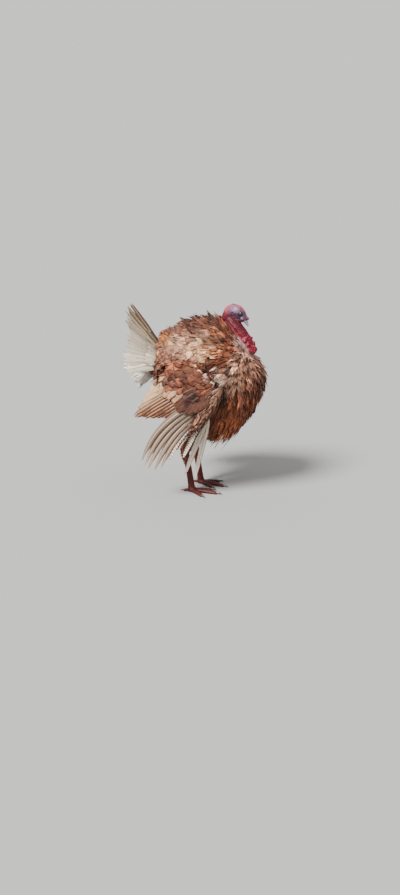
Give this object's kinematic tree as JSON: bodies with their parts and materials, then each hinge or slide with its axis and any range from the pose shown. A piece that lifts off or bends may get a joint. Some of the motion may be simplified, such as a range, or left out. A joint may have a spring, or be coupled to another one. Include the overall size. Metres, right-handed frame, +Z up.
{
  "type": "domestic turkey",
  "caption": "Life-size still model of a young tom turkey in half strut: fluffed rusty-red body, drooped wings, raised cream tail, bare head and neck.",
  "frame": {"origin": "on the floor, under the middle of the whole bird's box", "axes": "+X the way the bird faces, +Y to its left, +Z up"},
  "size_m": [0.4742, 0.4002, 0.6406],
  "materials": {
    "rust_feathers": "matte",
    "buff_feathers": "matte",
    "dark_rust_feathers": "matte",
    "cream_flight_feathers": "matte",
    "tail_feathers": "matte",
    "head_skin": "satin",
    "neck_skin": "satin",
    "caruncle_skin": "satin",
    "beak_horn": "satin",
    "eye": "gloss",
    "leg_scales": "satin",
    "claw_horn": "satin"
  },
  "bodies": {
    "root": {"head": "head_skin", "eye_right": "eye", "eye_left": "eye", "beak_upper": "beak_horn", "beak_lower": "beak_horn", "snood": "caruncle_skin", "neck": "neck_skin", "caruncles": "caruncle_skin", "breast": "dark_rust_feathers", "rump": "buff_feathers", "back": "rust_feathers", "belly": "rust_feathers", "tail_feathers": "tail_feathers", "undertail_coverts": "tail_feathers", "foot_right": "leg_scales", "shank_right": "leg_scales", "thigh_right": "rust_feathers", "toe_right_inner": "leg_scales", "claw_right_inner": "claw_horn", "toe_right_middle": "leg_scales", "claw_right_middle": "claw_horn", "toe_right_outer": "leg_scales", "claw_right_outer": "claw_horn", "toe_right_hind": "leg_scales", "claw_right_hind": "claw_horn", "wing_right_coverts": "rust_feathers", "wing_right_hand": "buff_feathers", "wing_right_secondaries": "cream_flight_feathers", "wing_right_primaries": "cream_flight_feathers", "foot_left": "leg_scales", "shank_left": "leg_scales", "thigh_left": "rust_feathers", "toe_left_inner": "leg_scales", "claw_left_inner": "claw_horn", "toe_left_middle": "leg_scales", "claw_left_middle": "claw_horn", "toe_left_outer": "leg_scales", "claw_left_outer": "claw_horn", "toe_left_hind": "leg_scales", "claw_left_hind": "claw_horn", "wing_left_coverts": "rust_feathers", "wing_left_hand": "buff_feathers", "wing_left_secondaries": "cream_flight_feathers", "wing_left_primaries": "cream_flight_feathers"}
  },
  "joints": []
}
